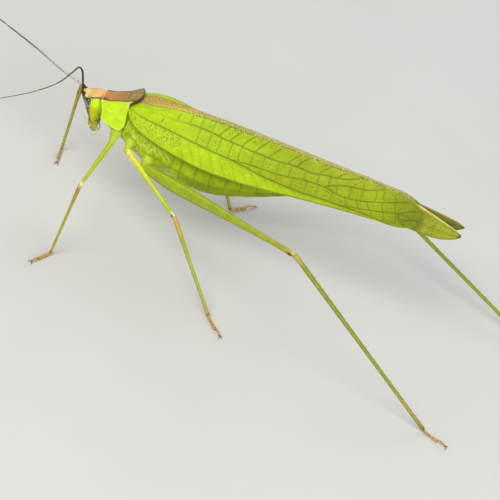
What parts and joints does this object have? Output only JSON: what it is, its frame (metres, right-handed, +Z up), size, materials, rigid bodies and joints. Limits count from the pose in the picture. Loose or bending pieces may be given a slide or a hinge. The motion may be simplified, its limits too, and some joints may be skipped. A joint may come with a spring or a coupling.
{
  "type": "long horned grasshopper",
  "caption": "Bush katydid standing on its feet, leaf-like wings folded, long feelers forward; a still life-size model of the live insect",
  "frame": {"origin": "middle of the footprint of the whole insect, on the floor under its feet", "axes": "+X runs along the body from head to tail, the head looks to -X; -Y is the insect's left side; +Z is up"},
  "size_m": [0.0944, 0.0384, 0.0204],
  "materials": {
    "head": "soft waxy cuticle, olive yellow face, cream and peach crown",
    "eye": "glossy grey blue compound eye",
    "feeler": "dark brown, paler at the nodes",
    "mouthparts": "ochre, shiny",
    "pronotum": "lime lobes under an orange brown disc",
    "thorax": "lime with pale plate edges",
    "abdomen": "lime rings, darker olive fold below",
    "tegmen": "leathery lime with darker veins and a brown speckled back",
    "hind_wing": "olive green folded membrane tip",
    "femur": "yellow green, pale keel, cream knee",
    "tibia": "olive brown, rows of small spines",
    "tarsus": "orange brown with dark joints"
  },
  "bodies": {
    "root": {"head": "head", "clypeus_labrum": "mouthparts", "eye_left": "eye", "antenna_base_left": "feeler", "antenna_left": "feeler", "mandible_left": "mouthparts", "maxillary_palp_left": "mouthparts", "labial_palp_left": "mouthparts", "eye_right": "eye", "antenna_base_right": "feeler", "antenna_right": "feeler", "mandible_right": "mouthparts", "maxillary_palp_right": "mouthparts", "labial_palp_right": "mouthparts", "pronotum": "pronotum", "thorax": "thorax", "abdomen": "abdomen", "cercus_left": "abdomen", "cercus_right": "abdomen", "tegmen_left": "tegmen", "tegmen_right": "tegmen", "hind_wing_left": "hind_wing", "hind_wing_right": "hind_wing", "coxa_front_left": "thorax", "femur_front_left": "femur", "tibia_front_left": "tibia", "tarsus_front_left": "tarsus", "coxa_front_right": "thorax", "femur_front_right": "femur", "tibia_front_right": "tibia", "tarsus_front_right": "tarsus", "coxa_middle_left": "thorax", "femur_middle_left": "femur", "tibia_middle_left": "tibia", "tarsus_middle_left": "tarsus", "coxa_middle_right": "thorax", "femur_middle_right": "femur", "tibia_middle_right": "tibia", "tarsus_middle_right": "tarsus", "coxa_hind_left": "thorax", "femur_hind_left": "femur", "tibia_hind_left": "tibia", "tarsus_hind_left": "tarsus", "coxa_hind_right": "thorax", "femur_hind_right": "femur", "tibia_hind_right": "tibia", "tarsus_hind_right": "tarsus"}
  },
  "joints": []
}
